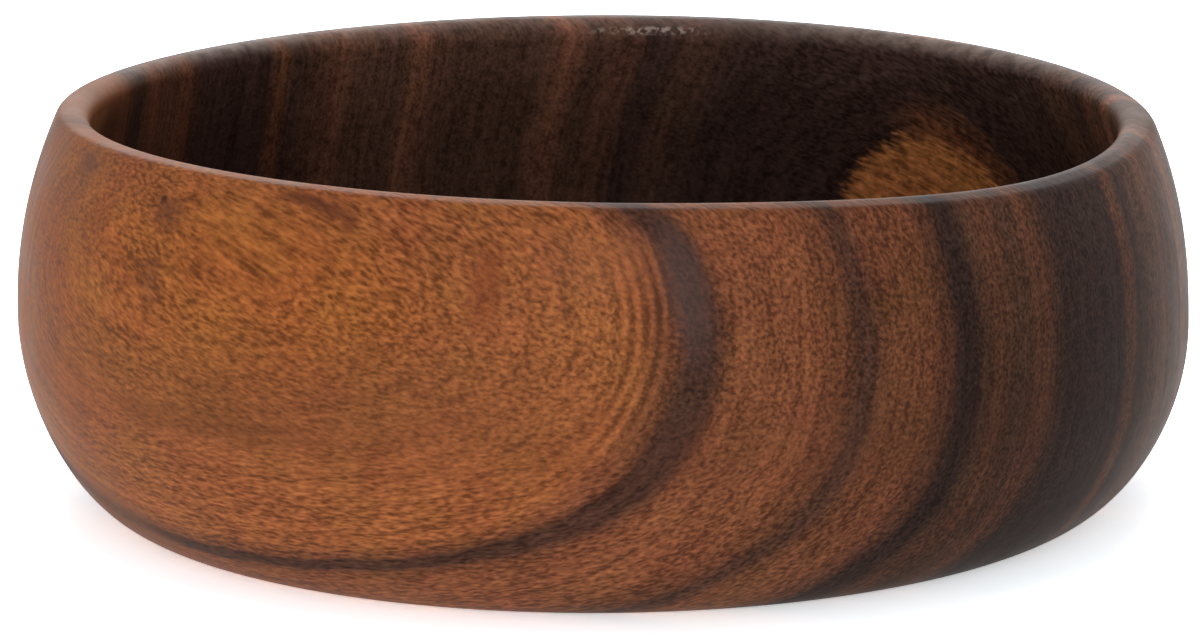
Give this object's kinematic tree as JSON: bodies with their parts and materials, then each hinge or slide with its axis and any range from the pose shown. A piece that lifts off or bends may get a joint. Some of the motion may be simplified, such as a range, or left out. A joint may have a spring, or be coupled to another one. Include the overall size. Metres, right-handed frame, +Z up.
{
  "type": "wooden bowl",
  "caption": "Round turned wooden bowl: a low belly that closes in to a rounded lip, a broad flat foot and a deep open hollow for salad, fruit or bread.",
  "frame": {"origin": "centre of the foot, on the surface that the bowl stands on", "axes": "+Z up along the turning axis, through the middle of the mouth; -Y is the side that the picture shows in front, +X its right"},
  "size_m": [0.305, 0.305, 0.102],
  "materials": {
    "wood": "oiled satin, brown wood with bold dark growth bands and a paler orange-brown side"
  },
  "bodies": {
    "root": {"bowl_body": "wood"}
  },
  "joints": []
}
